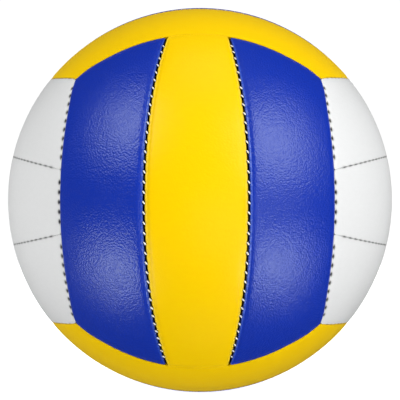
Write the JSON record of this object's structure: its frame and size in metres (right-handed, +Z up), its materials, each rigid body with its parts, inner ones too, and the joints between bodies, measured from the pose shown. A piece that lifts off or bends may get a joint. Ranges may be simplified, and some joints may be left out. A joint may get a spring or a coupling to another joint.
{
  "type": "volleyball",
  "caption": "Stitched volleyball: padded strip panels in blue, yellow and white sewn over a lined rubber bladder with a push-in needle valve.",
  "frame": {"origin": "centre of the ball", "axes": "+Z up, -Y towards the front face of blue, yellow and blue upright strips, +Y out of the valve, +X to the right seen from the front"},
  "size_m": [0.21, 0.2099, 0.21],
  "materials": {
    "pvc_blue": "satin pebbled PVC leather",
    "pvc_yellow": "satin pebbled PVC leather",
    "pvc_white": "satin pebbled PVC leather",
    "foam": "closed-cell EVA foam, matt",
    "lining_cloth": "woven cotton lining, matt",
    "thread": "bonded polyester thread",
    "bladder_rubber": "butyl rubber, satin",
    "valve_rubber": "moulded rubber, satin"
  },
  "bodies": {
    "ball": {"cover_front_left": "pvc_blue", "cover_front_middle": "pvc_yellow", "cover_front_right": "pvc_blue", "cover_back_left": "pvc_blue", "cover_back_middle": "pvc_yellow", "cover_back_right": "pvc_blue", "cover_left_upper": "pvc_white", "cover_left_middle": "pvc_white", "cover_left_lower": "pvc_white", "cover_right_upper": "pvc_white", "cover_right_middle": "pvc_white", "cover_right_lower": "pvc_white", "cover_top_front": "pvc_yellow", "cover_top_middle": "pvc_blue", "cover_top_back": "pvc_yellow", "cover_bottom_front": "pvc_yellow", "cover_bottom_middle": "pvc_blue", "cover_bottom_back": "pvc_yellow", "foam_front_left": "foam", "foam_front_middle": "foam", "foam_front_right": "foam", "foam_back_left": "foam", "foam_back_middle": "foam", "foam_back_right": "foam", "foam_left_upper": "foam", "foam_left_middle": "foam", "foam_left_lower": "foam", "foam_right_upper": "foam", "foam_right_middle": "foam", "foam_right_lower": "foam", "foam_top_front": "foam", "foam_top_middle": "foam", "foam_top_back": "foam", "foam_bottom_front": "foam", "foam_bottom_middle": "foam", "foam_bottom_back": "foam", "lining_front": "lining_cloth", "lining_back": "lining_cloth", "lining_left": "lining_cloth", "lining_right": "lining_cloth", "lining_top": "lining_cloth", "lining_bottom": "lining_cloth", "thread_front": "thread", "thread_back": "thread", "thread_left": "thread", "thread_right": "thread", "thread_top": "thread", "thread_bottom": "thread", "bladder": "bladder_rubber", "bladder_patch": "bladder_rubber", "valve_ring": "lining_cloth", "valve_socket": "valve_rubber"},
    "valve_plug": {"valve_plug": "valve_rubber"}
  },
  "joints": [
    {"name": "valve_plug_pull", "type": "slide", "parent": "ball", "child": "valve_plug", "axis": [0, 1, 0], "range_m": [0, 0.016]}
  ]
}
